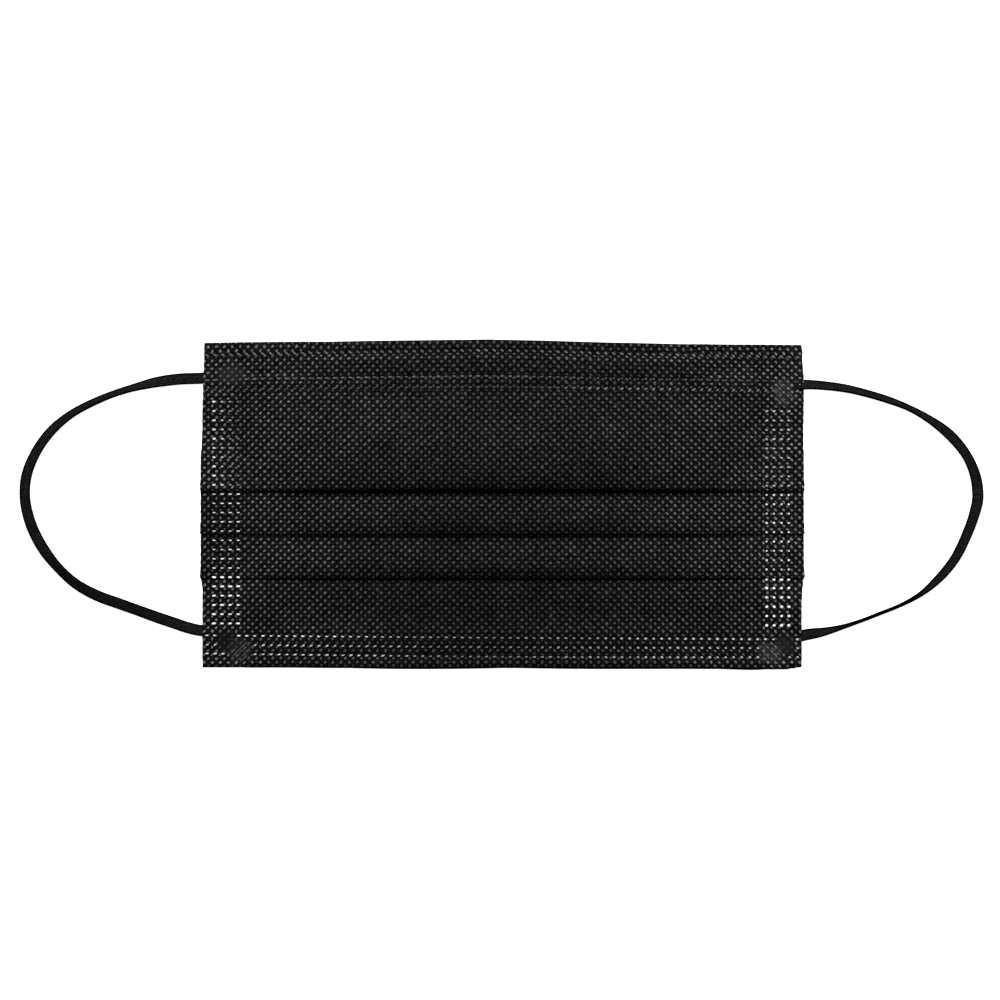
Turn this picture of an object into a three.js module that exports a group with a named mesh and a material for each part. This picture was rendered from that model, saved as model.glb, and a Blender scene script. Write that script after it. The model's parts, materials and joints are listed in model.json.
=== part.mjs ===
// Disposable face mask, lying flat on its inner side with its front up.
//
// Millimetres. +X runs to the right along the mask's width, +Y towards the nose edge and +Z out of the
// front. The origin is under the middle of the panel, on the surface that the mask lies on.
//
// The panel is one sheet. Followed from the free edge of its top hem it runs up the back, turns over at
// the nose edge, comes down the front to the first fold, doubles back up, turns down again, and so on
// through three pleats to the chin edge, where the bottom hem turns up the back. Its middle line is
// worked out in the YZ plane from the table of sections and lofted along X.

import * as THREE from 'three';

// ---- sheet -----------------------------------------------------------------------------------------
const SHEET = 1.0; // all plies together
const AIR = 0.3; // clearance between two layers, and between two pieces
const PITCH = SHEET + AIR;
const LOWEST = SHEET / 2; // middle height of a layer that lies on the surface
const SECOND = LOWEST + PITCH;

// ---- outline ---------------------------------------------------------------------------------------
const NOSE_EDGE = 46.9; // at the corners
const NOSE_BOW = 0.9; // how much further out the nose edge runs at the crest of its bow
const BOW_CREST = -8;
const BOW_HALF_WIDTH = 80;
const BOW_DEPTH = 25; // the bow dies out this far below the nose edge
const CHIN_EDGE = -47.8;
const TOP_HEM = 13.3;
const BOTTOM_HEM = 11;

// ---- pleats ----------------------------------------------------------------------------------------
const FIRST_FOLD = 4.1;
const FOLD_SPACING = 12.75;
const PLEAT_DEPTH = 10; // how far each pleat doubles back behind its fold
const LAYER_RISE = 1.1; // a pleat's layers climb this much over its depth
const TURN_STEPS = 4; // facets around each fold

// ---- nose wire -------------------------------------------------------------------------------------
const WIRE_LENGTH = 110;
const WIRE_WIDTH = 3.5;
const WIRE_THICKNESS = 0.8;
const WIRE_CORNER = 1.2;
const CHANNEL_Y = 39.8; // middle of the wire's channel at the mask's corners
const CHANNEL_BOW = 0.55; // the straight wire sits this far up, in the middle of the bowed channel
const RIDGE_HALF_WIDTH = WIRE_WIDTH / 2 + 0.75;
const RIDGE_FLANK = 1.1;
const RIDGE_FADE = 6; // the ridge over the wire dies out this far past each end

// ---- elastic ---------------------------------------------------------------------------------------
const ELASTIC_WIDTH = 3.1;
const ELASTIC_THICKNESS = 0.86;
const ELASTIC_EDGE = 0.25; // chamfer along the elastic's edges
const ELASTIC_STEP = 5;
const ELASTIC_REST = 0.05; // elastic that lies flat still bears only here and there
const FLAT = ELASTIC_THICKNESS / 2 + ELASTIC_REST; // middle height of elastic lying flat

// The corners of the panel ride over the ends of the elastic.
const CORNER_LIFT = ELASTIC_REST + ELASTIC_THICKNESS + AIR;
const LIFT_X = { from: 66, to: 73.5 };
const LIFT_Y = { from: 20, to: 30 };

const NONWOVEN = { color: 0x1b1b1c, roughness: 0.85, metalness: 0 };
const ELASTIC = { color: 0x151516, roughness: 0.8, metalness: 0 };
const COATED_WIRE = { color: 0xc9c9c6, roughness: 0.45, metalness: 0 };

// 0 before from, 1 past to, and a smooth ramp between them
function ramp(value, from, to) {
  const t = THREE.MathUtils.clamp((value - from) / (to - from), 0, 1);
  return t * t * (3 - 2 * t);
}

// ---- panel -----------------------------------------------------------------------------------------
// A plain section has one height, z. A fold's y is its outer edge, and there the sheet turns from the
// height z to the height next. left and right are the half widths. ridge marks the stretch over the wire.
function pleat(index, widths) {
  const edge = FIRST_FOLD - index * FOLD_SPACING;
  const under = LOWEST + LAYER_RISE;
  return [
    { name: 'fold', y: edge, z: under + 2 * PITCH, next: under + PITCH, ...widths.fold },
    { name: 'valley', y: edge + PLEAT_DEPTH, z: SECOND, next: LOWEST, ...widths.valley },
    { name: 'under fold', y: edge, z: under, ...widths.valley },
  ];
}

function overPleat(index, widths) {
  const valley = FIRST_FOLD - index * FOLD_SPACING + PLEAT_DEPTH;
  return { name: 'over pleat', y: valley, z: LOWEST + 2 * PITCH, ...widths };
}

const ridgeTop = CHANNEL_Y + RIDGE_HALF_WIDTH;
const ridgeBottom = CHANNEL_Y - RIDGE_HALF_WIDTH;
const hemEdge = NOSE_EDGE - TOP_HEM;
const SECTIONS = [
  { name: 'top hem', y: hemEdge, z: LOWEST, left: 86.8, right: 86.8 },
  { name: 'top hem', y: CHANNEL_Y, z: LOWEST, left: 86.7, right: 86.6 },
  { name: 'nose edge', y: NOSE_EDGE, z: LOWEST, next: SECOND, left: 86.6, right: 86.3 },
  { name: 'channel', y: ridgeTop + RIDGE_FLANK, z: SECOND, left: 86.7, right: 87.1 },
  { name: 'wire ridge', y: ridgeTop, z: SECOND, ridge: 1, left: 86.8, right: 87.3 },
  { name: 'wire ridge', y: ridgeBottom, z: SECOND, ridge: 1, left: 86.9, right: 87.5 },
  { name: 'channel', y: ridgeBottom - RIDGE_FLANK, z: SECOND, left: 86.9, right: 87.5 },
  { name: 'top panel', y: 33, z: SECOND, left: 87.0, right: 87.5 },
  { name: 'top panel', y: 28, z: 1.75, left: 87.2, right: 87.5 },
  { name: 'top panel', y: 22, z: 2.1, left: 87.3, right: 87.5 },
  overPleat(0, { left: 87.8, right: 87.7 }),
  ...pleat(0, { fold: { left: 88.1, right: 88.1 }, valley: { left: 87.6, right: 87.5 } }),
  overPleat(1, { left: 87.7, right: 87.7 }),
  ...pleat(1, { fold: { left: 87.8, right: 87.6 }, valley: { left: 87.4, right: 87.3 } }),
  overPleat(2, { left: 87.6, right: 87.5 }),
  ...pleat(2, { fold: { left: 87.6, right: 87.8 }, valley: { left: 87.2, right: 87.2 } }),
  { name: 'bottom panel', y: -26, z: 1.7, left: 87.2, right: 87.0 },
  { name: 'bottom panel', y: -30, z: SECOND, left: 87.2, right: 86.9 },
  { name: 'bottom hem', y: CHIN_EDGE + BOTTOM_HEM, z: SECOND, left: 87.2, right: 87.0 },
  { name: 'chin edge', y: CHIN_EDGE, z: SECOND, next: LOWEST, left: 87.1, right: 86.8 },
  { name: 'bottom hem', y: CHIN_EDGE + BOTTOM_HEM, z: LOWEST, left: 87.1, right: 86.9 },
];

// The sheet's middle line: each fold becomes half a circle whose outside touches the fold's edge.
function middleLine(sections) {
  const line = [];
  sections.forEach((section, index) => {
    if (section.next === undefined) {
      line.push(section);
      return;
    }
    const outward = Math.sign(section.y - sections[index - 1].y);
    const radius = Math.abs(section.next - section.z) / 2;
    const centreY = section.y - outward * (radius + SHEET / 2);
    const centreZ = (section.next + section.z) / 2;
    const upward = Math.sign(section.next - section.z);
    for (let step = 0; step <= TURN_STEPS; step += 1) {
      const angle = (Math.PI * step) / TURN_STEPS;
      const y = centreY + outward * radius * Math.sin(angle);
      const z = centreZ - upward * radius * Math.cos(angle);
      const along = new THREE.Vector2(outward * Math.cos(angle), upward * Math.sin(angle));
      line.push({ ...section, y, z, along });
    }
  });
  return line;
}

// Both faces of the sheet, as one closed outline: out along one face and back along the other.
function sheetOutline(line) {
  const faces = [1, -1].map((side) => line.map((point, index) => {
    const before = line[Math.max(index - 1, 0)];
    const after = line[Math.min(index + 1, line.length - 1)];
    const arriving = new THREE.Vector2(point.y - before.y, point.z - before.z).normalize();
    const leaving = new THREE.Vector2(after.y - point.y, after.z - point.z).normalize();
    const along = point.along ?? arriving.clone().add(leaving).normalize();
    const spread = point.along ? 1 : Math.max(along.dot(arriving), along.dot(leaving));
    const offset = (side * SHEET) / 2 / spread;
    return { ...point, y: point.y - along.y * offset, z: point.z + along.x * offset };
  }));
  return [...faces[0], ...faces[1].reverse()];
}

function panelPoint(point, x) {
  const inwards = 1 - ramp(NOSE_EDGE - point.y, 0, BOW_DEPTH);
  const bow = NOSE_BOW * (1 - ((x - BOW_CREST) / BOW_HALF_WIDTH) ** 2);
  const nearEnd = ramp(Math.abs(x), LIFT_X.from, LIFT_X.to);
  const nearCorner = ramp(Math.abs(point.y), LIFT_Y.from, LIFT_Y.to);
  const wireEnd = WIRE_LENGTH / 2;
  const overWire = (point.ridge ?? 0) * (1 - ramp(Math.abs(x), wireEnd + 1, wireEnd + RIDGE_FADE));
  const ridge = overWire * (WIRE_THICKNESS + AIR);
  return new THREE.Vector3(x, point.y + inwards * bow, point.z + CORNER_LIFT * nearEnd * nearCorner + ridge);
}

function pleatedPanel() {
  const outline = sheetOutline(middleLine(SECTIONS));
  const inner = [12, 35, 56, 61, 66, 69.75, 73.5, 80];
  const stations = [...inner.map((x) => -x).reverse(), ...inner];
  const rings = [
    outline.map((point) => panelPoint(point, -point.left)),
    ...stations.map((x) => outline.map((point) => panelPoint(point, x))),
    outline.map((point) => panelPoint(point, point.right)),
  ];
  const count = outline.length;
  const triangles = [];
  for (let ring = 0; ring + 1 < rings.length; ring += 1) {
    for (let side = 0; side < count; side += 1) {
      const a = ring * count + side;
      const b = ring * count + ((side + 1) % count);
      triangles.push(a, a + count, b + count, a, b + count, b);
    }
  }
  const lastRing = (rings.length - 1) * count;
  const capOf = (ring) => THREE.ShapeUtils.triangulateShape(ring.map((p) => new THREE.Vector2(p.y, p.z)), []);
  capOf(rings[0]).forEach(([a, b, c]) => triangles.push(a, c, b));
  capOf(rings.at(-1)).forEach(([a, b, c]) => triangles.push(lastRing + a, lastRing + b, lastRing + c));
  const geometry = new THREE.BufferGeometry().setFromPoints(rings.flat());
  geometry.setIndex(triangles);
  geometry.computeVertexNormals();
  return geometry;
}

// ---- nose wire -------------------------------------------------------------------------------------
function noseWire() {
  const x = WIRE_LENGTH / 2 - WIRE_CORNER;
  const y = WIRE_WIDTH / 2 - WIRE_CORNER;
  const outline = new THREE.Shape();
  outline.absarc(x, y, WIRE_CORNER, 0, Math.PI / 2);
  outline.absarc(-x, y, WIRE_CORNER, Math.PI / 2, Math.PI);
  outline.absarc(-x, -y, WIRE_CORNER, Math.PI, Math.PI * 1.5);
  outline.absarc(x, -y, WIRE_CORNER, Math.PI * 1.5, Math.PI * 2);
  return new THREE.ExtrudeGeometry(outline, { depth: WIRE_THICKNESS, bevelEnabled: false, curveSegments: 4 });
}

// ---- ear loops -------------------------------------------------------------------------------------
// Each route runs from the weld at the upper corner, out from under the panel, round the loop and back
// under the panel to the weld at the lower corner. Where the elastic stands on its edge its middle is
// higher. Columns: x, y, middle height.
const LEFT_ROUTE = [
  [-75.2, 37.8, FLAT],
  [-81.5, 37.3, FLAT],
  [-87.6, 36.8, FLAT],
  [-94.6, 36.5, FLAT],
  [-100.5, 35.7, 0.55],
  [-106.5, 34.3, 0.85],
  [-112.8, 32.4, 1.15],
  [-119.2, 29.8, 1.1],
  [-125.9, 26.2, 0.95],
  [-131.9, 21.1, 0.7],
  [-136.5, 14.5, 0.55],
  [-139.0, 7.9, FLAT],
  [-139.4, 2.4, FLAT],
  [-137.9, -5.1, FLAT],
  [-134.5, -12.3, FLAT],
  [-129.8, -18.4, 0.5],
  [-124.3, -23.4, 0.5],
  [-118.1, -26.8, FLAT],
  [-111.8, -29.1, FLAT],
  [-106.2, -31.1, FLAT],
  [-101.0, -33.0, FLAT],
  [-95.7, -34.7, FLAT],
  [-88.2, -36.7, FLAT],
  [-81.5, -38.9, FLAT],
  [-75.0, -41.8, FLAT],
];
const RIGHT_ROUTE = [
  [75.1, 32.4, FLAT],
  [81.8, 34.3, FLAT],
  [88.7, 35.0, FLAT],
  [95.0, 34.5, 0.6],
  [100.7, 33.7, 0.7],
  [106.5, 32.3, 0.85],
  [112.5, 30.5, 1.0],
  [118.9, 28.0, 1.1],
  [125.3, 24.4, 0.85],
  [131.2, 19.6, 0.55],
  [135.9, 13.3, FLAT],
  [138.3, 6.9, FLAT],
  [138.7, 1.9, FLAT],
  [137.4, -3.6, FLAT],
  [135.2, -9.4, FLAT],
  [131.8, -16.0, 0.6],
  [127.2, -21.6, 0.95],
  [121.9, -26.2, 1.4],
  [116.1, -29.5, 1.55],
  [110.1, -32.0, 1.55],
  [104.7, -34.0, 1.55],
  [99.2, -35.7, 1.4],
  [93.8, -37.1, 0.8],
  [88.2, -38.0, FLAT],
  [81.8, -40.3, FLAT],
  [74.9, -43.6, FLAT],
];

function earLoop(points) {
  const route = new THREE.CatmullRomCurve3(points.map(([x, y, z]) => new THREE.Vector3(x, y, z)));
  // An extrusion carries the section's first axis upwards and its second across the route.
  const high = ELASTIC_THICKNESS / 2;
  const wide = ELASTIC_WIDTH / 2;
  const section = new THREE.Shape([
    new THREE.Vector2(high, wide - ELASTIC_EDGE),
    new THREE.Vector2(high - ELASTIC_EDGE, wide),
    new THREE.Vector2(ELASTIC_EDGE - high, wide),
    new THREE.Vector2(-high, wide - ELASTIC_EDGE),
    new THREE.Vector2(-high, ELASTIC_EDGE - wide),
    new THREE.Vector2(ELASTIC_EDGE - high, -wide),
    new THREE.Vector2(high - ELASTIC_EDGE, -wide),
    new THREE.Vector2(high, ELASTIC_EDGE - wide),
  ]);
  const steps = Math.round(route.getLength() / ELASTIC_STEP);
  return new THREE.ExtrudeGeometry(section, { steps, extrudePath: route, bevelEnabled: false });
}

// ---- assembly --------------------------------------------------------------------------------------
function piece(name, geometry, finish) {
  const mesh = new THREE.Mesh(geometry, new THREE.MeshStandardMaterial(finish));
  mesh.name = name;
  return mesh;
}

const mask = new THREE.Group();
mask.name = 'face_mask';
mask.add(piece('pleated_panel', pleatedPanel(), NONWOVEN));

const wire = piece('nose_wire', noseWire(), COATED_WIRE);
wire.position.set(0, CHANNEL_Y + CHANNEL_BOW, SHEET + AIR);
mask.add(wire);

mask.add(piece('ear_loop_left', earLoop(LEFT_ROUTE), ELASTIC));
mask.add(piece('ear_loop_right', earLoop(RIGHT_ROUTE), ELASTIC));

export default mask;
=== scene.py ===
# Disposable face mask of black nonwoven, lying front up on a pale table: its looks, built round the CAD.
# Metres. +X runs to the right along the mask, +Y towards its nose edge, and +Z up from the table.

import json
import math

import bpy
import numpy as np
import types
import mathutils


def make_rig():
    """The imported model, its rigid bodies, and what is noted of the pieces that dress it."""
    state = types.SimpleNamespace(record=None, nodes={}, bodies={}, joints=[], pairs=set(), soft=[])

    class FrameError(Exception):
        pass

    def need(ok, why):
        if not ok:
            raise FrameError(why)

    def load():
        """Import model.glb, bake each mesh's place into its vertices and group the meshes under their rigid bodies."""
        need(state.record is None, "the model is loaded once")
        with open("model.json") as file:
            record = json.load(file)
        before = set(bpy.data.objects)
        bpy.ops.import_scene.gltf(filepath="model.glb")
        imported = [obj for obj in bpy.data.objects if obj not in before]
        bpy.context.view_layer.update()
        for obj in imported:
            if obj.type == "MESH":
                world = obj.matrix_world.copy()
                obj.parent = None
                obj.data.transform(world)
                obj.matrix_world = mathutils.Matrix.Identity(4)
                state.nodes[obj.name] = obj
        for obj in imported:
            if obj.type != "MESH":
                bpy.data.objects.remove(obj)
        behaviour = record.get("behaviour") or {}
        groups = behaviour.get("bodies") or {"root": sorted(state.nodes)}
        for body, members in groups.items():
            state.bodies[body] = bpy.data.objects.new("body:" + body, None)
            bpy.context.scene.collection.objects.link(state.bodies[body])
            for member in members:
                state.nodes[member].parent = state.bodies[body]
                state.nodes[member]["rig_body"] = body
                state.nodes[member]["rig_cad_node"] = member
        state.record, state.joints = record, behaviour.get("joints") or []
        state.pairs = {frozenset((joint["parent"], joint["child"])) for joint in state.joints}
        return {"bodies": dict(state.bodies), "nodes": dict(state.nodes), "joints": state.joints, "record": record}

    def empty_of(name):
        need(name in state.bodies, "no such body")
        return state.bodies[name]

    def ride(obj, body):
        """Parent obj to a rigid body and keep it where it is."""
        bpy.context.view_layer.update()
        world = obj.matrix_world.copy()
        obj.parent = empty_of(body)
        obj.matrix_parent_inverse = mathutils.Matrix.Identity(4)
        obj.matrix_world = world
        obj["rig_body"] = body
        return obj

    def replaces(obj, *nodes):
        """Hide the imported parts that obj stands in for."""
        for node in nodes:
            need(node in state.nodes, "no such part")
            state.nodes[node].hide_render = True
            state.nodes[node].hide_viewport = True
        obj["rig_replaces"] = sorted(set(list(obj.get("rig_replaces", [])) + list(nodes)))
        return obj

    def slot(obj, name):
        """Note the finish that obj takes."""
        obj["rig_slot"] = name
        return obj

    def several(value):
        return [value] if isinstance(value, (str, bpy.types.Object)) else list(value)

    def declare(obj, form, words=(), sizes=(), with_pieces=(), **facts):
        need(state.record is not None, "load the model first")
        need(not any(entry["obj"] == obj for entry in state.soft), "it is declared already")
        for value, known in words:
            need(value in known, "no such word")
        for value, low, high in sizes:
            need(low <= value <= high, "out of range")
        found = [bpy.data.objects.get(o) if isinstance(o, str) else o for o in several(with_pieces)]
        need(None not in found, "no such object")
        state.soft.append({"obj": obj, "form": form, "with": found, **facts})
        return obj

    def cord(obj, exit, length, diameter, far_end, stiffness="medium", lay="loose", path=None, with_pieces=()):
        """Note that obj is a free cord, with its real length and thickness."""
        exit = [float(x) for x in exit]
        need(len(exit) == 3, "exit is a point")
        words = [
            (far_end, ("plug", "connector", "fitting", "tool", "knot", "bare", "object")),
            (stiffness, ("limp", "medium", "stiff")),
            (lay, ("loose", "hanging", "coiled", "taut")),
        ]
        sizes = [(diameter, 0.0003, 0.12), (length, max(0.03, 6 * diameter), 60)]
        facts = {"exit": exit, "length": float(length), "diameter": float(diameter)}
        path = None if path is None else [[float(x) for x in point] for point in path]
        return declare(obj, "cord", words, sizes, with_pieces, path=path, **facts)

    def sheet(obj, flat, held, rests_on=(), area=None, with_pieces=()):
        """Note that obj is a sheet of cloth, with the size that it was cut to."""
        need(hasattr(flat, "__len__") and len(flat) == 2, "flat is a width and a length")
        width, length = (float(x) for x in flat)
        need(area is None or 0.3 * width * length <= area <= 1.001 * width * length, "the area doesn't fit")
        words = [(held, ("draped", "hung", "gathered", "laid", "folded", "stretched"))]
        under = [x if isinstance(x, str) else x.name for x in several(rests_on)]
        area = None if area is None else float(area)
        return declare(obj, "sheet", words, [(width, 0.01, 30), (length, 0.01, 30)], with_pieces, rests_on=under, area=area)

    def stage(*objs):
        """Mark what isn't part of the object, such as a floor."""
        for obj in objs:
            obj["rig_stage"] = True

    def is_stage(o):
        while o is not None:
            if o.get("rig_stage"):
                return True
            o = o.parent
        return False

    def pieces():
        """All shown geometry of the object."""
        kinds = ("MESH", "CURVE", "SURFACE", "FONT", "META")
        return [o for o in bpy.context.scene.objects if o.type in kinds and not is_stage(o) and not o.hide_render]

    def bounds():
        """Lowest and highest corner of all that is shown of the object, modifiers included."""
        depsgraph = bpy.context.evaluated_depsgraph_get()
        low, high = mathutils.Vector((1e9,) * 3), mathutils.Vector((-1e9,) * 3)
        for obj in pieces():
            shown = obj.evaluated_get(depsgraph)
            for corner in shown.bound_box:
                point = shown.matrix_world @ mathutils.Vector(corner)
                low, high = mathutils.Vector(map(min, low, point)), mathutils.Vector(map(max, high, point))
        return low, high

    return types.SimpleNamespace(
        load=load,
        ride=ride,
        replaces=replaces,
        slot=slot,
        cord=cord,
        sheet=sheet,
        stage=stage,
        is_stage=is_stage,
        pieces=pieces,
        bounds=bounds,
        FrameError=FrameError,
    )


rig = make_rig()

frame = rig.load()
cad_low, cad_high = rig.bounds()

MM = 0.001


# ---- Table, light and camera ----
# A matt white sheet on a light table, so that nothing throws a hard shadow on it. One softbox stands
# beyond the nose edge and a fainter one hangs overhead. The camera looks straight down.

TABLE_HALF = 6.0
TABLE_COLOUR = (0.86, 0.86, 0.86)
TABLE_GLOW = 0.97
TABLE_GRAIN = 900.0

CAMERA_AIM = (-0.6 * MM, 1.2 * MM, 2.5 * MM)
VIEW_WIDTH = 291.7 * MM
LENS = 135.0
SENSOR = 36.0

KEY_REACH = 1.7
KEY_LEAN = math.radians(52)
KEY_SIZE = 0.42
KEY_WATTS = 38.0
FILL_HEIGHT = 2.1
FILL_SIZE = 1.8
FILL_WATTS = 4.6
ROOM_LIGHT = 0.05


def operator(operation, reflected=False):
    """A method that adds a Math node, with the flow's own value first or, reflected, last."""

    def apply(flow, *values):
        values = (*values, flow) if reflected else (flow, *values)
        return flow.node("ShaderNodeMath", {"operation": operation}, dict(enumerate(values)))

    return apply


class Flow:
    """A value that runs through a node tree. Sums and products of flows add Math nodes to their tree."""

    __add__, __radd__ = operator("ADD"), operator("ADD", reflected=True)
    __sub__, __rsub__ = operator("SUBTRACT"), operator("SUBTRACT", reflected=True)
    __mul__, __rmul__ = operator("MULTIPLY"), operator("MULTIPLY", reflected=True)
    __truediv__ = operator("DIVIDE")
    __abs__ = operator("ABSOLUTE")
    least, most = operator("MINIMUM"), operator("MAXIMUM")
    root, fraction, floor = operator("SQRT"), operator("FRACT"), operator("FLOOR")

    def __init__(self, tree, socket=None):
        self.tree = tree
        self.socket = socket

    def node(self, kind, settings=None, values=None, output=0):
        made = self.tree.nodes.new(kind)
        for name, setting in (settings or {}).items():
            setattr(made, name, setting)
        for name, value in (values or {}).items():
            if isinstance(value, Flow):
                self.tree.links.new(value.socket, made.inputs[name])
            else:
                made.inputs[name].default_value = value
        return Flow(self.tree, made.outputs[output])

    def other(self, output):
        return Flow(self.tree, self.socket.node.outputs[output])

    def x_and_y(self):
        apart = self.node("ShaderNodeSeparateXYZ", values={"Vector": self})
        return apart.other("X"), apart.other("Y")

    def vector(self, **values):
        return self.node("ShaderNodeCombineXYZ", values=values)

    def object_place(self):
        return self.node("ShaderNodeTexCoord", output="Object")

    def scaled(self, factor):
        return self.node("ShaderNodeVectorMath", {"operation": "SCALE"}, {0: self, "Scale": factor})

    def step(self, kind, **values):
        """A geometry after one more Geometry Nodes node of this kind."""
        return self.node("GeometryNode" + kind, values={"Geometry": self, **values})

    def fade(self, start, end, low=0.0, high=1.0):
        """low up to start, high past end, and a smooth ramp between them."""
        settings = {"interpolation_type": "SMOOTHSTEP"}
        values = {"Value": self, "From Min": start, "From Max": end, "To Min": low, "To Max": high}
        return self.node("ShaderNodeMapRange", settings, values)


def material(name, **constants):
    """A new material with these constant inputs, a flow to start its nodes from, and its shader."""
    made = bpy.data.materials.new(name)
    made.use_nodes = True
    shader = made.node_tree.nodes["Principled BSDF"]
    for socket, value in constants.items():
        shader.inputs[socket.replace("_", " ")].default_value = value
    return made, Flow(made.node_tree), shader


def feed(shader, socket, flow):
    flow.tree.links.new(flow.socket, shader.inputs[socket])


def link(piece):
    bpy.context.scene.collection.objects.link(piece)
    return piece


def mesh_piece(name, points, faces, finish=None):
    made = bpy.data.meshes.new(name)
    made.from_pydata([tuple(p) for p in points], [], [tuple(f) for f in faces])
    if finish is not None:
        made.materials.append(finish)
    return link(bpy.data.objects.new(name, made))


paper, start, shader = material("white_paper", Specular_IOR_Level=0.2, Emission_Strength=TABLE_GLOW)
place = start.object_place()
grain = start.node("ShaderNodeTexNoise", values={"Vector": place, "Scale": TABLE_GRAIN, "Detail": 2.0})
shader.inputs["Base Color"].default_value = (*TABLE_COLOUR, 1)
shader.inputs["Emission Color"].default_value = (1, 1, 1, 1)
feed(shader, "Roughness", grain.fade(0.3, 0.7, 0.85, 0.95))
corners = [(x * TABLE_HALF, y * TABLE_HALF, 0) for x, y in ((-1, -1), (1, -1), (1, 1), (-1, 1))]
table = mesh_piece("table", corners, [(0, 1, 2, 3)], paper)
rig.stage(table)


def softbox(name, watts, size, reach, lean):
    """A square lamp that leans back towards the nose edge and faces the mask."""
    lamp = bpy.data.lights.new(name, "AREA")
    lamp.energy = watts
    lamp.size = size
    stand = link(bpy.data.objects.new(name, lamp))
    stand.location = (0, reach * math.sin(lean), reach * math.cos(lean))
    stand.rotation_euler = (-lean, 0, 0)


softbox("key_softbox", KEY_WATTS, KEY_SIZE, KEY_REACH, KEY_LEAN)
softbox("overhead_softbox", FILL_WATTS, FILL_SIZE, FILL_HEIGHT, 0.0)
room = bpy.data.worlds.new("room")
room.use_nodes = True
background = room.node_tree.nodes["Background"]
background.inputs["Color"].default_value = (1, 1, 1, 1)
background.inputs["Strength"].default_value = ROOM_LIGHT
bpy.context.scene.world = room
bpy.context.scene.view_settings.view_transform = "Standard"

lens = bpy.data.cameras.new("camera")
lens.lens = LENS
lens.sensor_width = SENSOR
camera = link(bpy.data.objects.new("camera", lens))
camera.location = CAMERA_AIM
camera.location.z += VIEW_WIDTH * LENS / SENSOR
bpy.context.scene.camera = camera


# ---- Pleated sheet ----
# The mask's one sheet: black spunbond polypropylene outside and inside, laid round a filter ply. It is
# folded into a hem at each long edge and three pleats, and welded flat along its two short sides.

NOSE_EDGE = 46.9 * MM
TOP_HEM_EDGE = 33.9 * MM
BOTTOM_HEM_EDGE = -36.8 * MM
FOLD_EDGES = [3.9 * MM, -8.75 * MM, -21.6 * MM]
FOLD_LOFT = [1.0, 0.72, 0.92]  # how far each pleat stands open, against the first
FOLD_NIP = [0.35 * MM, 0.1 * MM, 0.02 * MM]  # the gap left inside each fold
FOLD_POINTS = 5  # stations round a fold
PLEAT_DEPTHS = [10.75 * MM, 10.5 * MM, 10.35 * MM]

PLY = 0.38 * MM  # all plies together
PLY_WELDED = 0.22 * MM  # and melted together along the short sides
AIR = 0.03 * MM
WELD_STRIP = (74.5 * MM, 77.5 * MM)  # the sheet goes from loose to pressed flat this far out
NIPPED = (52 * MM, 76 * MM)  # and its folds lose NIPPED_SHARE of their opening between these distances
NIPPED_SHARE = 0.75
DOME_SHAPE = 0.8  # below 1, the dome stays high further out

# The long edges aren't straight: x and y of points on them, in millimetres.
NOSE_LINE = [
    (-87, 47.1), (-67, 47.45), (-50, 47.55), (-24, 47.9), (-4, 48.2), (12, 47.85), (30, 47.25), (55, 46.8),
    (87, 46.5),
]
CHIN_LINE = [
    (-87, -47.75), (-58, -47.85), (-24, -48.3), (2, -48.0), (28, -48.25), (55, -48.2), (72, -48.45),
    (83, -48.3), (87, -47.6),
]
BOW_DEPTH = 25 * MM
HEM_SAG = (0.15 * MM, 0.55 * MM)  # how far the hem hangs down in the middle, and how much more at the sides
HEM_DEPTH = (5 * MM, 24 * MM)
FOLD_BOW = 0.28 * MM  # the first fold is bowed too, and the cloth round it with it
FOLD_BOW_REACH = 13 * MM
CORNER_LIFT = 1.1 * MM  # the corners ride over the ends of the elastic
LIFT_ACROSS = (66 * MM, 74 * MM)
LIFT_ALONG = (20 * MM, 30 * MM)
RUFFLE = 0.14 * MM
RUFFLED_FROM = 1.2 * MM  # cloth lower than this ruffles less
FRAY = (0.06 * MM, 0.03 * MM)  # broad and fine waves in the cut short sides
SIDE_BAND = 5 * MM  # the columns this close to the short sides follow them

WIRE_TOP = 2.1 * MM
WIRE_HALF = 55 * MM
WIRE_TAPER = 6 * MM
WIRE_ACROSS = (42.2 * MM, 40.3 * MM, 38.5 * MM)  # its upper edge, middle and lower edge
TOP_WELD_ROWS = [43.8 * MM, 36.7 * MM, 33.7 * MM]
TOP_PUFF = 0.16 * MM  # how far the loose cloth stands up between two rows of welds
BOTTOM_PUFF = 0.15 * MM
# The rows of welds in the bottom hem aren't quite straight: place in the middle, slope and curve.
BOTTOM_WELD_ROWS = [
    (-39.07 * MM, -0.0066, 0.02), (-41.82 * MM, -0.0058, 0.037), (-44.6 * MM, -0.0063, 0.06),
]

# The cloth between hem and pleats, in millimetres: y, its height, how much looseness and the dome add to
# that, and the half widths to the left and right.
TOP_PANEL = [
    (29, 0.15, 1.25, 0.85, 87.5, 88.1), (23, 0.12, 1.0, 2.1, 87.6, 88.1),
    (17.5, 0.12, 0.9, 2.85, 87.8, 88.1),
]
BOTTOM_PANEL = [
    (-24.5, 0, 0.1, 0.55, 87.5, 87.8), (-28.5, 0, 0.08, 0.42, 87.5, 87.5),
    (-33.0, 0, 0.05, 0.12, 87.5, 87.5), (-35.6, 0, 0.25, 0, 87.5, 87.5),
]

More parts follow.
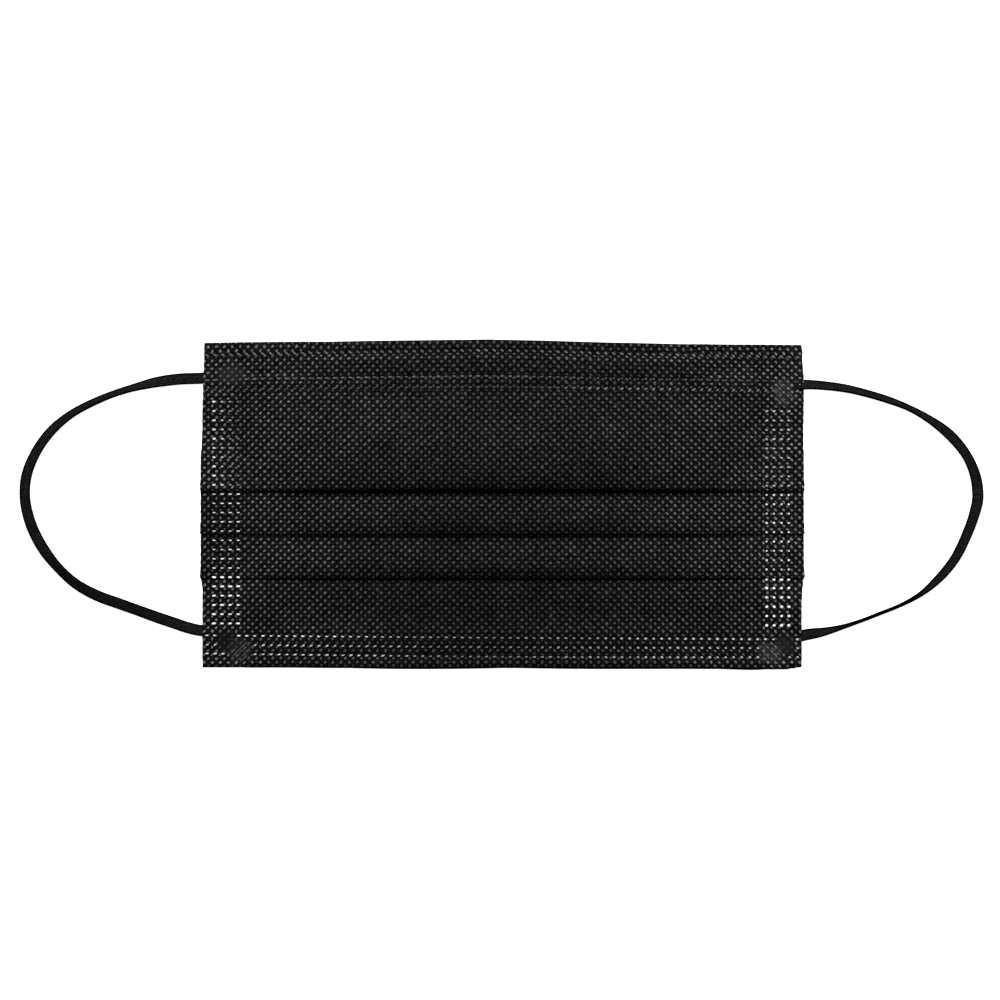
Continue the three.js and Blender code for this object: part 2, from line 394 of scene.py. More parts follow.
# A pleat's profile, at places behind its edge in millimetres: what is left of its rise and its opening, and
# the heights of the doubled back layer and the top layer over the one below. The first has the domed panel.
PLEAT_RISE = ([0, 3, 6.5, 10], [1, 0.6, 0.25, 0])
PLEAT_OPENING = ([0, 6.5, 10], [1, 0.6, 0])
DOUBLED_HEIGHTS = ([0, 1.2, 2.2, 3.2, 6.5, 10], [0, 0.3, 0.55, 0.7, 0.4, 0])
TOP_PLACES = [0, 1.2, 2.2, 3.2, 4.4, 6.6, 9.4, 10]
FIRST_TOP_HEIGHTS = [0, 0.15, 0.28, 0.47, 0.95, 1.73, 2.64, 2.7]
TOP_HEIGHTS = [0, 0.08, 0.12, 0.22, 0.35, 0.37, 0.17, 0.1]
HIDDEN_PLACES = [3.0, 6.5]
LIP = 3  # nearer its edge than this, a pleat is as wide as its lip
LIP_SIDES = (88.25 * MM, 88.4 * MM)
PLEAT_SIDES = (88.1 * MM, 88.2 * MM)

BOND_ACROSS = 2.35 * MM  # the bond points lie in rows, and every other row is shifted by half of this
BOND_ALONG = 2.263 * MM
COLUMN = BOND_ACROSS / 4
ROW = BOND_ALONG / 4
HALF_COLUMNS = 148
HALF_WIDTH = HALF_COLUMNS * COLUMN
TYPICAL_COLUMN = 40 * MM  # the mesh's rows are laid out on this column, and the others follow


def ramp(value, start, end):
    t = np.clip((value - start) / (end - start), 0, 1)
    return t * t * (3 - 2 * t)


def edge_line(line, x):
    return np.interp(x / MM, *np.array(line).T) * MM


def nose_bow(x, y):
    """How far the cloth at x and y is shifted by the bow of the nose edge."""
    bow = edge_line(NOSE_LINE, x) - NOSE_EDGE
    sag = HEM_SAG[0] + HEM_SAG[1] * (x / WELD_STRIP[1]) ** 2
    sag *= ramp(NOSE_EDGE - y, 0, HEM_DEPTH[0]) * (1 - ramp(NOSE_EDGE - y, *HEM_DEPTH))
    return bow * (1 - ramp(NOSE_EDGE - y, 0, BOW_DEPTH)) - sag


def bottom_weld_row(index, x):
    middle, slope, curve = BOTTOM_WELD_ROWS[index]
    return middle + slope * x + curve * x * x


def directions(points, spans):
    """The directions of a smooth line at its points, from the lengths of the spans between them."""
    spans = spans.reshape(-1, *[1] * (points.ndim - 1))
    slopes = np.diff(points, axis=0) / spans
    before, after = spans[:-1], spans[1:]
    between = (slopes[:-1] * after + slopes[1:] * before) / (before + after)
    return np.concatenate([slopes[:1], between, slopes[-1:]])


def smooth_point(p, q, m, n, t):
    """The point at t, from 0 to 1, on a smooth curve from p to q, with the headings m and n there."""
    from_p = (2 * t**3 - 3 * t**2 + 1) * p + (t**3 - 2 * t**2 + t) * m
    from_q = (3 * t**2 - 2 * t**3) * q + (t**3 - t**2) * n
    return from_p + from_q


class Sheet:
    """The sheet's middle line in the YZ plane, from the free edge of the top hem to that of the bottom hem.
    Each station holds a point for every column x, the half widths of the sheet to the left and right there,
    the spacing of the mesh's rows from there on, and the line's direction in a fold."""

    FRONT, BACK, HIDDEN, FOLD = ROW, ROW * 2, ROW * 4, ROW / 2  # spacings of the mesh's rows
    FOLD_MARGIN = 0.6 * MM  # a fold's rows begin this far before it and end this far after it
    STEPS = 16  # points that a span between two stations is measured with

    def __init__(self, x):
        self.x = x
        self.loose = 1 - ramp(abs(x), *WELD_STRIP)
        self.swell = self.loose * np.clip(1 - (x / WELD_STRIP[1]) ** 2, 0, 1) ** DOME_SHAPE
        self.open = self.loose * (1 - NIPPED_SHARE * ramp(abs(x), *NIPPED))
        self.ply = PLY_WELDED + (PLY - PLY_WELDED) * self.open
        self.crease = self.ply + AIR  # height of a pressed fold, from middle to middle
        self.low = self.ply / 2 + AIR
        self.points, self.headings, self.sides, self.spacings = [], [], [], []
        self.spacing = self.BACK
        self.shown = []  # each stretch that shows: its first station, the one it's measured from, its last
        self.top_hem()
        for number, edge in enumerate(FOLD_EDGES):
            self.pleat(number, edge)
        self.bottom_panel()
        self.smooth()

    def point(self, y, z, sides, heading=None):
        self.points.append(np.stack([y + 0 * self.x, z + 0 * self.x], axis=-1))
        self.headings.append(heading)
        self.sides.append(sides)
        self.spacings.append(self.spacing)

    def turn(self, edge, z, next_z, outward, sides, then):
        """A fold whose outside touches edge, from the height z to next_z. The mesh's rows are FOLD apart in
        it, and then is their spacing after it."""
        radius = abs(z - next_z) / 2
        upward = np.sign(next_z - z)
        centre_y = edge - outward * (radius + self.ply / 2)
        self.spacing = self.FOLD
        for number, angle in enumerate(np.linspace(0, np.pi, FOLD_POINTS), start=1):
            if number == FOLD_POINTS:
                self.spacing = then
            y = centre_y + outward * radius * np.sin(angle)
            z_here = (z + next_z) / 2 - upward * radius * np.cos(angle)
            heading = np.stack([outward * np.cos(angle) + 0 * upward, upward * np.sin(angle)], axis=-1)
            self.point(y, z_here, sides, heading)

    def panel(self, stations, swell):
        for y, pressed, loose, domed, left, right in stations:
            height = pressed + loose * self.loose + domed * swell
            self.point(y * MM, self.low + height * MM, (left * MM, right * MM))

    def top_hem(self):
        seam = self.low + (0.2 + 0.6 * self.loose) * MM
        below_wire = seam + 0.55 * MM * self.loose
        upper, middle, lower = WIRE_ACROSS
        back = [
            (TOP_HEM_EDGE, below_wire), (36.9 * MM, below_wire), (38.3 * MM, seam),
            (middle, seam - 0.1 * MM * self.loose), (44.0 * MM, seam),
        ]
        for y, z in back:
            self.point(y, z, (87.0 * MM, 87.2 * MM))
        self.first_shown = len(self.points)
        self.turn(NOSE_EDGE, seam, seam + self.crease, 1, (86.9 * MM, 87.4 * MM), self.FRONT)
        over = seam + self.crease
        over_below = below_wire + self.crease
        puff = TOP_PUFF * self.loose
        wired = self.loose * ramp(-abs(self.x), -WIRE_HALF - WIRE_TAPER, -WIRE_HALF)
        ridge = over + (WIRE_TOP + AIR + self.ply / 2 - over) * wired
        first, second, third = TOP_WELD_ROWS
        front = [
            (45.1 * MM, over + 0.6 * puff, 87.0, 87.7), (first, over, 87.0, 87.7),
            (42.9 * MM, over + puff, 87.0, 87.7), (upper, ridge, 87.0, 87.7),
            (middle, ridge + 0.05 * MM * wired, 87.1, 87.9), (lower, ridge, 87.2, 88.1),
            (second, over_below, 87.3, 88.1), (35.3 * MM, over_below + puff, 87.3, 88.1),
            (third, over_below, 87.3, 88.1), (32.3 * MM, over_below, 87.3, 88.1),
        ]
        for y, z, left, right in front:
            self.point(y, z, (left * MM, right * MM))
        self.panel(TOP_PANEL, self.swell)

    def pleat(self, number, edge):
        """The sheet comes down over the pleat, turns back at its edge, up to the valley, and down again."""
        swell = self.swell * FOLD_LOFT[number]
        rise = (0.08 + 0.12 * self.open + 0.36 * swell) * MM
        nip = FOLD_NIP[number] * self.open + 0.2 * MM * swell
        valley = edge + PLEAT_DEPTHS[number]
        top_heights = FIRST_TOP_HEIGHTS if number == 0 else TOP_HEIGHTS

        def layers(behind):
            """Heights of the lowest, the doubled back and the top layer, this far behind the edge."""
            lowest = self.low + rise * np.interp(behind, *PLEAT_RISE)
            doubled = lowest + self.crease + nip * np.interp(behind, *PLEAT_OPENING)
            doubled = doubled + (0.04 * self.loose + swell) * np.interp(behind, *DOUBLED_HEIGHTS) * MM
            above = np.interp(behind, TOP_PLACES, top_heights)
            return lowest, doubled, doubled + self.crease + (0.06 * self.loose + swell) * above * MM

        if number > 0:
            self.point(valley + 1.0 * MM, self.low + self.crease + 0.5 * self.ply, PLEAT_SIDES)
        for behind in TOP_PLACES[-2:0:-1]:
            sides = LIP_SIDES if behind < LIP else PLEAT_SIDES
            self.point(edge + behind * MM, layers(behind)[2], sides)
        last_shown = len(self.points) + FOLD_POINTS - 1
        self.shown.append((self.first_shown, last_shown - FOLD_POINTS // 2, last_shown))
        self.turn(edge, layers(0)[2], layers(0)[1], -1, LIP_SIDES, self.HIDDEN)
        for behind in HIDDEN_PLACES:
            self.point(edge + behind * MM, layers(behind)[1], PLEAT_SIDES)
        self.turn(valley, self.low + self.crease, self.low, 1, PLEAT_SIDES, self.HIDDEN)
        for behind in reversed(HIDDEN_PLACES):
            self.point(edge + behind * MM, layers(behind)[0], PLEAT_SIDES)
        self.spacing = self.FRONT
        self.first_shown = len(self.points)
        self.point(edge, layers(0)[0], PLEAT_SIDES)

    def bottom_panel(self):
        measured = len(self.points) + 1
        self.panel(BOTTOM_PANEL, self.swell * FOLD_LOFT[-1])
        over = self.low + self.crease
        puff = BOTTOM_PUFF * self.loose
        first, second, third = (bottom_weld_row(index, self.x) for index in range(3))
        front = [
            (first + 1.4 * MM, over + puff), (first, over), ((first + second) / 2, over + puff),
            (second, over), ((second + third) / 2, over + puff), (third, over),
            (third - 1.4 * MM, over + 1.6 * puff),
        ]
        for y, z in front:
            self.point(y, z, (87.5 * MM, 87.5 * MM))
        self.shown.append((self.first_shown, measured, len(self.points) + FOLD_POINTS - 1))
        sides = (87.4 * MM, 87.4 * MM)
        self.turn(edge_line(CHIN_LINE, self.x), over, self.low, -1, sides, self.BACK)
        for y in (-43 * MM, -40 * MM, BOTTOM_HEM_EDGE):
            self.point(y, self.low, sides)

    def smooth(self):
        """Works out the spans between the stations, and the line's direction at those outside a fold."""
        self.points = np.array(self.points)
        self.spans = np.linalg.norm(np.diff(self.points, axis=0), axis=-1).mean(axis=-1)
        free = directions(self.points, self.spans)
        self.headings = np.array([f if known is None else known for f, known in zip(free, self.headings)])

    def along(self, places):
        """Points and directions on every column's smooth line, at places counted in stations."""
        index = np.clip(places.astype(int), 0, len(self.spans) - 1)
        t = (places - index)[..., None]
        span = self.spans[index][..., None]
        column = np.arange(len(self.x))
        p, q = self.points[index, column], self.points[index + 1, column]
        m, n = self.headings[index, column] * span, self.headings[index + 1, column] * span
        heading = (6 * t**2 - 6 * t) * (p - q) + (3 * t**2 - 4 * t + 1) * m + (3 * t**2 - 2 * t) * n
        return smooth_point(p, q, m, n, t), heading / np.linalg.norm(heading, axis=-1, keepdims=True)

    def rows(self, spacings):
        """The mesh's rows, for every column: where each lies on its line, in stations, and on the flat
        cloth. The rows of bond points run straight wherever the cloth shows, so the mesh's rows do too."""
        places = np.linspace(0, len(self.spans), len(self.spans) * self.STEPS + 1)
        line = self.along(places[:, None] + 0 * self.x)[0]
        steps = np.linalg.norm(np.diff(line, axis=0), axis=-1)
        lengths = np.concatenate([0 * steps[:1], np.cumsum(steps, axis=0)])
        typical = np.argmin(abs(self.x - TYPICAL_COLUMN))
        at_station = lengths[:: self.STEPS]
        knots, shifts = [], []
        for first, measured, last in self.shown:
            knots += [first, last]
            shifts += [at_station[measured, typical] - at_station[measured]] * 2
        shifts = np.array(shifts)
        lengths += np.stack([np.interp(places, knots, shift) for shift in shifts.T], axis=-1)
        half_row = ROW / 2
        wanted = set()
        for start, end, spacing in zip(at_station[:, typical], at_station[1:, typical], spacings):
            every = round(spacing / half_row)
            margin = self.FOLD_MARGIN if spacing == self.FOLD else 0
            first, last = math.ceil((start - margin) / half_row), math.floor((end + margin) / half_row)
            wanted.update(number for number in range(first, last + 1) if number % every == 0)
        chosen = np.array(sorted(wanted)) * half_row
        low, high = lengths[0].max() + half_row / 2, lengths[-1].min() - half_row / 2
        chosen = chosen[(chosen > low) & (chosen < high)]
        rows = np.stack([np.interp(chosen, column, places) for column in lengths.T], axis=-1)
        rows = np.concatenate([0 * rows[:1], rows, 0 * rows[:1] + len(self.spans)])
        flat = np.broadcast_to(chosen[:, None], (len(chosen), len(self.x)))
        return rows, np.concatenate([lengths[:1], flat, lengths[-1:]])


def ruffle(x, y):
    """Low soft waves, as in a sheet that was packed and laid out again."""
    waves = [
        (31, 57, 0.4, 1.0), (47, -71, 2.1, 0.8), (88, 23, 4.0, 0.55), (-63, 102, 1.2, 0.5),
        (139, -95, 5.2, 0.3),
    ]
    height = sum(a * np.sin(math.tau * (fx * x + fy * y) + phase) for fx, fy, phase, a in waves)
    return height / sum(wave[3] for wave in waves)


# Painted shade under each pleat's fold, added to the shadow that the fold itself casts: how much, how much less in the
# middle, how far below the fold that begins to fade and ends, and how broad the painted dark line is where the sheet
# is welded.
UNDER_FOLDS = [
    (1.0, 0.42, 1.1 * MM, 2.8 * MM, 0.45 * MM),
    (0.3, 0, 1.2 * MM, 3.8 * MM, 0.3 * MM),
    (0.22, 0, 1.4 * MM, 4.4 * MM, 0.3 * MM),
]
WELDED_FOLD_SHADE = 0.88
WELDED_FOLD_FADE = 0.45 * MM
ABOVE_FOLD_SHADE = 0.3  # painted shade: the cloth is darkened as it curves down to a fold, between these places above it
ABOVE_FOLD = (-0.3 * MM, 5 * MM)
STRIP_SHADE = 0.18  # painted shade: the two strips of cloth between the folds are darkened in the middle of the mask,
STRIP_WELDS_SHADE = 0.35  # over the welds at the left,
STRIP_LEFT_SHADE = 0.09  # and on the way to them, between these distances
STRIP_LEFT = (20 * MM, 60 * MM)
STRIP_FADE = 1 * MM
CHIN_ROLL = (0.45 * MM, 1.25 * MM)  # painted shade: the sheet is darkened to this light as it rolls over its long edges
CHIN_ROLL_LIGHT = 0.06
NOSE_ROLL = (0.1 * MM, 0.7 * MM)
NOSE_ROLL_LIGHT = 0.45


def shading(x, y, cloth):
    """How much of its lightness the cloth keeps at x and y under the painted shade."""
    above = [np.where(y > edge + ABOVE_FOLD[0], y - edge, np.inf) for edge in FOLD_EDGES]
    shade = 1 - ABOVE_FOLD_SHADE * (1 - ramp(np.min(above, axis=0), *ABOVE_FOLD))
    high, low = FOLD_EDGES[0], FOLD_EDGES[-1]
    in_strips = ramp(y, low, low + STRIP_FADE) * (1 - ramp(y, high - STRIP_FADE, high))
    shade = 1 - (1 - shade * (1 - STRIP_SHADE * in_strips)) * cloth.swell**1.5
    for edge, (depth, less, start, end, line) in zip(FOLD_EDGES, UNDER_FOLDS):
        under = (y < edge) * (1 - ramp(edge - y, start, end))
        shade *= 1 - (depth - less * cloth.swell) * cloth.open * under
        under = (y < edge) * (1 - ramp(edge - y, line, line + WELDED_FOLD_FADE))
        shade *= 1 - WELDED_FOLD_SHADE * (1 - cloth.loose) * under
    shade *= 1 - STRIP_WELDS_SHADE * in_strips * ramp(-x, *WELD_STRIP)
    shade *= 1 - STRIP_LEFT_SHADE * in_strips * ramp(-x, *STRIP_LEFT)
    shade *= CHIN_ROLL_LIGHT + (1 - CHIN_ROLL_LIGHT) * ramp(y - edge_line(CHIN_LINE, x), *CHIN_ROLL)
    return shade * (NOSE_ROLL_LIGHT + (1 - NOSE_ROLL_LIGHT) * ramp(NOSE_EDGE - y, *NOSE_ROLL))


def face_grid(columns, face):
    """One face of the sheet, outer 1 or inner -1, as rows and columns of points, with each one's place on
    the flat cloth, how loose the cloth is there, how steeply it stands, and how light the painted shade leaves it."""
    cloth = Sheet(columns)
    sparse = [ROW if spacing == Sheet.FOLD else 3 * ROW for spacing in cloth.spacings]
    places, lengths = cloth.rows(cloth.spacings if face == 1 else sparse)
    middle, heading = cloth.along(places)
    y = middle[..., 0] + face * cloth.ply / 2 * heading[..., 1]
    z = middle[..., 1] - face * cloth.ply / 2 * heading[..., 0]
    half_widths = np.array(cloth.sides)
    widening = []
    for side, column in ((0, 0), (1, -1)):
        half_width = np.interp(places[:, column], np.arange(len(half_widths)), half_widths[:, side])
        at = lengths[:, column]
        fray = FRAY[0] * np.sin(at * 2100 + 0.7 * np.sin(at * 900)) + FRAY[1] * np.sin(at * 5300)
        widening.append((half_width + fray - HALF_WIDTH)[:, None])
    outwards = np.where(columns < 0, -widening[0], widening[1])
    x = columns + outwards * ramp(abs(columns), HALF_WIDTH - SIDE_BAND, HALF_WIDTH)
    # painted shade, carried to the material as the shade attribute
    shade = shading(x, y, cloth)
    y = y + nose_bow(x, y)
    fold_bow = FOLD_BOW * np.exp(-(((y - FOLD_EDGES[0]) / FOLD_BOW_REACH) ** 2))
    y = y + fold_bow * np.clip(1 - (x / WELD_STRIP[0]) ** 2, 0, 1)
    z = z + CORNER_LIFT * ramp(abs(x), *LIFT_ACROSS) * ramp(abs(y), *LIFT_ALONG)
    z = z + RUFFLE * (1 + ruffle(x, y)) * cloth.loose * np.clip(z / RUFFLED_FROM, 0, 1)
    points = np.stack([x, y, z], axis=-1)
    on_cloth = np.stack([x, lengths], axis=-1)
    return points, on_cloth, {"loose": cloth.loose + 0 * x, "steep": abs(heading[..., 1]), "shade": shade}


def grid_faces(numbers):
    corners = numbers[:-1, :-1], numbers[1:, :-1], numbers[1:, 1:], numbers[:-1, 1:]
    return np.stack([corner.ravel() for corner in corners], axis=-1).tolist()


def edge_faces(first, second, first_at, second_at):
    """Triangles between two lines of points that run the same way, with first on the right hand."""
    faces = []
    i = j = 0
    while i < len(first) - 1 or j < len(second) - 1:
        if j == len(second) - 1 or (i < len(first) - 1 and first_at[i + 1] <= second_at[j + 1]):
            faces.append((first[i], second[j], first[i + 1]))
            i += 1
        else:
            faces.append((first[i], second[j], second[j + 1]))
            j += 1
    return faces


outer_columns = np.arange(-HALF_COLUMNS, HALF_COLUMNS + 1) * COLUMN
inner_columns = outer_columns[::2]
outer, outer_cloth, outer_values = face_grid(outer_columns, 1)
inner, inner_cloth, inner_values = face_grid(inner_columns, -1)
outer_numbers = np.arange(outer[..., 0].size).reshape(outer.shape[:2])
inner_numbers = np.arange(inner[..., 0].size).reshape(inner.shape[:2]) + outer_numbers.size
outer_down, inner_down = outer_cloth[..., 1], inner_cloth[..., 1]
sheet_faces = grid_faces(outer_numbers) + grid_faces(inner_numbers[::-1])
sheet_faces += edge_faces(outer_numbers[:, 0], inner_numbers[:, 0], outer_down[:, 0], inner_down[:, 0])
sheet_faces += edge_faces(inner_numbers[:, -1], outer_numbers[:, -1], inner_down[:, -1], outer_down[:, -1])
sheet_faces += edge_faces(inner_numbers[0], outer_numbers[0], inner_columns, outer_columns)
sheet_faces += edge_faces(outer_numbers[-1], inner_numbers[-1], outer_columns, inner_columns)
sheet_points = np.concatenate([outer.reshape(-1, 3), inner.reshape(-1, 3)])
sheet_cloth = np.concatenate([outer_cloth.reshape(-1, 2), inner_cloth.reshape(-1, 2)])

# Where the ends of the elastic are welded on, the sheet is pressed smooth or ribbed: centre, half size, how
# far the bond points are pressed away, how light the melted patch is, and how much lighter its ribs are.
ELASTIC_WELDS = [
    ((-79.0 * MM, 37.8 * MM), (4.6 * MM, 2.9 * MM), 0.6, 0.013, 0.0),
    ((-80.2 * MM, -40.2 * MM), (3.4 * MM, 3.6 * MM), 1.0, 0.006, 0.0),
    ((-76.4 * MM, -42.7 * MM), (3.6 * MM, 3.8 * MM), 0.8, 0.007, 0.055),
    ((82.3 * MM, 32.5 * MM), (3.0 * MM, 4.2 * MM), 0.45, 0.014, 0.07),
    ((82.8 * MM, -41.1 * MM), (3.0 * MM, 3.2 * MM), 1.0, 0.010, 0.012),
    ((78.4 * MM, -43.4 * MM), (3.6 * MM, 3.0 * MM), 0.4, 0.016, 0.06),
]


def patch(x, y, centre, half_size):
    """1 on an elastic weld, with rounded corners and a soft edge."""
    across = abs(x - centre[0]) / half_size[0]
    along = abs(y - centre[1]) / half_size[1]
    return 1 - ramp((across**3 + along**3) ** (1 / 3), 0.5, 1.2)


def put_attribute(mesh, name, values):
    made = mesh.attributes.new(name, "FLOAT", "POINT")
    made.data.foreach_set("value", np.ascontiguousarray(values, np.float32))


def put_uv_map(mesh, name, by_point):
    corners = np.empty(len(mesh.loops), np.int32)
    mesh.loops.foreach_get("vertex_index", corners)
    mesh.uv_layers.new(name=name).data.foreach_set("uv", by_point[corners].astype(np.float32).ravel())


sheet = mesh_piece("pleated_sheet", sheet_points, sheet_faces)
sheet.data.shade_smooth()
put_uv_map(sheet.data, "cloth", sheet_cloth)
for name, values in outer_values.items():
    put_attribute(sheet.data, name, np.concatenate([values.ravel(), inner_values[name].ravel()]))
patches = [patch(sheet_points[:, 0], sheet_points[:, 1], *weld[:2]) for weld in ELASTIC_WELDS]
pressed, melted, ribbed = ([p * weld[k] for p, weld in zip(patches, ELASTIC_WELDS)] for k in (2, 3, 4))
put_attribute(sheet.data, "patch", np.max(pressed, axis=0))
put_attribute(sheet.data, "melt", sum(melted))
put_attribute(sheet.data, "ribs", sum(ribbed))

# The weld marks go through the whole sheet: four columns up each short side, three rows along each hem.
SIDE_COLUMNS = {
    "left": [-84.15 * MM, -81.78 * MM, -79.45 * MM, -77.06 * MM],
    "right": [77.29 * MM, 79.45 * MM, 81.64 * MM, 83.77 * MM],
}
SIDE_ROWS = {"left": (29.87 * MM, 2.697 * MM, 25), "right": (27.12 * MM, 2.72 * MM, 24)}
# Up the short sides: how light the marks are, partly the melted film's own lightness and partly painted highlight,
# their length and width, and how far they are turned at most. Above the first fold the outer columns are lightest.
TOP_LIGHTS = {"left": (0.85, 0.5, 0.22, 0.12), "right": (0.5, 0.48, 0.45, 0.42)}
MIDDLE_LIGHT = 0.9
LOW_LIGHT = 1.16
TOP_SIZE = (1.0 * MM, 0.6 * MM)
MIDDLE_SIZE = {"left": (1.03 * MM, 0.4 * MM), "right": (0.7 * MM, 0.6 * MM)}
LOW_SIZE = {"left": (1.2 * MM, 0.6 * MM), "right": (0.95 * MM, 0.78 * MM)}
LOW_FROM = FOLD_EDGES[2] + 0.5 * MM
SIDE_TURN = {"left": 0.12, "right": 0.4}
OFF_FOLD = (0.45 * MM, 0.2 * MM)  # a mark less than this below or above a fold's edge is moved to below it
# The top hem's rows of marks: lightness, partly painted highlight, length in millimetres and turn, each at the left
# and how much more at the right. The bottom hem's: how far they are shifted, their turn, and how light they are.
HEM_MARK_PITCH = 2.33 * MM
HEM_MARK_SPAN = (-86.2 * MM, 86.0 * MM)
HEM_MARK_WIDTH = 0.6 * MM
HEM_TURNS_RIGHT = (5 * MM, 35 * MM)  # the hems' marks go from left to right ones between these places
TOP_HEM_MARKS = [
    ((0.14, 0.03), (1.25, 0), (-0.6, 0)), ((0.11, -0.03), (1.25, -0.45), (0, 0)),
    ((0.06, 0.13), (1.25, 0), (0.1, 0.6)),
]
BOTTOM_HEM_MARKS = [(0, -0.1, 1.15), (0.13 * MM, 0.4, 0.92), (0.1 * MM, 0.25, 1.05)]
# And for all of those: lightness in the middle, where it grows towards the sides, partly as painted highlight, and by
# how much, and length and width.
BOTTOM_MIDDLE_LIGHT = 0.25
BOTTOM_GROWS_LIGHT = (10 * MM, 65 * MM)
BOTTOM_SHARED = ((0.55, -0.19), (1.05, -0.2), (0.46, 0.15))
BOTTOM_LEANS_LEFT = 20 * MM  # right of here they lean the other way
draw = np.random.default_rng(7)


def side_marks(side):
    """Each mark's place, lightness, length, width and turn."""
    top, pitch, count = SIDE_ROWS[side]
    outward_first = sorted(SIDE_COLUMNS[side], key=abs, reverse=True)
    for x, top_light in zip(outward_first, TOP_LIGHTS[side]):
        for row in range(count):
            y = top - row * pitch
            for edge in FOLD_EDGES:
                y = edge - OFF_FOLD[0] if -OFF_FOLD[0] < y - edge < OFF_FOLD[1] else y
            if y > FOLD_EDGES[0]:
                light, (length, width) = top_light, TOP_SIZE
            elif y > LOW_FROM:
                light, (length, width) = MIDDLE_LIGHT, MIDDLE_SIZE[side]
            else:
                light, (length, width) = LOW_LIGHT, LOW_SIZE[side]
            light *= draw.uniform(0.8, 1.15)
            yield x, y, light, length, width, draw.uniform(-SIDE_TURN[side], SIDE_TURN[side])


def hem_marks():
    count = round((HEM_MARK_SPAN[1] - HEM_MARK_SPAN[0]) / HEM_MARK_PITCH)
    for number in range(count + 1):
        x = HEM_MARK_SPAN[0] + number * HEM_MARK_PITCH
        right = ramp(x, *HEM_TURNS_RIGHT)
        for row, measures in zip(TOP_WELD_ROWS, TOP_HEM_MARKS):
            light, length, turn = (left + more * right for left, more in measures)
            light *= draw.uniform(0.6, 1.2)
            turn *= draw.uniform(0.6, 1.2)
            yield x, row + nose_bow(x, row), light, length * MM, HEM_MARK_WIDTH, turn
        growth, length, width = (left + more * right for left, more in BOTTOM_SHARED)
        shared_light = BOTTOM_MIDDLE_LIGHT + growth * ramp(abs(x), *BOTTOM_GROWS_LIGHT)
        side = np.sign(BOTTOM_LEANS_LEFT - x)
        for index, (shift, turn, light) in enumerate(BOTTOM_HEM_MARKS):
            turn = side * turn + draw.uniform(-0.12, 0.12)
            light *= shared_light * draw.uniform(0.75, 1.15)
            yield x + shift, bottom_weld_row(index, x), light, length * MM, width * MM, turn


marks = [
    mark for mark in (*side_marks("left"), *side_marks("right"), *hem_marks())
    if max(patch(*mark[:2], *weld[:2]) for weld in ELASTIC_WELDS) < 0.25
]
mark_points = mesh_piece("weld_places", [(x, y, 0) for x, y, *_ in marks], [])
for name, values in zip(("light", "length", "width", "turn"), list(zip(*marks))[2:]):
    put_attribute(mark_points.data, name, values)


KINDS = {float: "Float", int: "Int", bpy.types.Object: "Object", bpy.types.Material: "Material"}


def geometry_tree(name, inputs):
    """A Geometry Nodes tree with inputs for these values, and flows for its geometry and for each one."""
    tree = bpy.data.node_groups.new(name, "GeometryNodeTree")
    tree.interface.new_socket("Geometry", in_out="OUTPUT", socket_type="NodeSocketGeometry")
    tree.interface.new_socket("Geometry", in_out="INPUT", socket_type="NodeSocketGeometry")
    for socket, value in inputs.items():
        tree.interface.new_socket(socket, in_out="INPUT", socket_type="NodeSocket" + KINDS[type(value)])
    entry = tree.nodes.new("NodeGroupInput")
    return tree, {socket: Flow(tree, entry.outputs[socket]) for socket in ("Geometry", *inputs)}


def stored(flow, name, kind="FLOAT"):
    """In a Geometry Nodes tree, what the mesh carries under this name."""
    return flow.node("GeometryNodeInputNamedAttribute", {"data_type": kind}, {"Name": name})


def end_tree(geometry, finish):
    done = geometry.step("RealizeInstances").step("SetMaterial", Material=finish)
    leave = geometry.tree.nodes.new("NodeGroupOutput")
    geometry.tree.links.new(done.socket, leave.inputs["Geometry"])


def make_plain(piece, tree, values):
    """Runs a tree on a piece and keeps the result as the piece's own mesh."""
    modifier = piece.modifiers.new(tree.name, "NODES")
    modifier.node_group = tree
    for item in tree.interface.items_tree:
        if item.in_out == "INPUT" and item.name in values:
            modifier[item.identifier] = values[item.name]
    graph = bpy.context.evaluated_depsgraph_get()
    grown = piece.evaluated_get(graph)
    made = bpy.data.meshes.new_from_object(grown, preserve_all_data_layers=True, depsgraph=graph)
    piece.modifiers.clear()
    piece.data = made


def bond_points(u, v, pitch_u, pitch_v, lean=0.0):
    """For both of the lattice's sets of bond points: the distance to the nearest, and which one it is.
    With lean from -1 to 1, the distance grows more slowly along one diagonal."""
    sets = []
    for shift in (0.5, 1.0):
        a = u / pitch_u + shift
        b = v / pitch_v + shift
        across = (a.fraction() - 0.5) * pitch_u
        along = (b.fraction() - 0.5) * pitch_v
        distance = (across * across + along * along + across * along * lean).root()
        sets.append((distance, a.floor(), b.floor()))
    return sets


GROUND = 0.0098
# the bond points are lighter than the web: partly their own fused film, partly a painted highlight of its sheen
BOND_LIGHT = 0.155
SPECULAR = 0.03
HIGHLIGHT_LEAN = 0.6
RIB_PITCH = 1.32 * MM
FIBRE_SCALE = 2900.0
STRAND_SCALE = 3000.0
CREASE_SCALE = 900.0
CLOUD_SCALE = 70.0
MOTTLE_SCALE = 1900.0
RIB_BREAK_SCALE = 800.0
SHOVE_SCALE = 800.0
SHOVE = 0.5 * MM  # the bond points are shoved about by up to half of this


def noise(vector, scale, detail=2.0, roughness=0.5):
    values = {"Vector": vector, "Scale": scale, "Detail": detail, "Roughness": roughness}
    return vector.node("ShaderNodeTexNoise", values=values)


def turned(vector, angle, stretch):
    """The same coordinates turned by an angle and squeezed along the new X, for marks that run one way."""
    values = {"Vector": vector, "Rotation": (0, 0, angle), "Scale": (stretch, 1, 1)}
    return vector.node("ShaderNodeMapping", values=values)


def carried(start, name):
    """In a material, what the mesh carries under this name."""
    return start.node("ShaderNodeAttribute", {"attribute_name": name}, output="Fac")


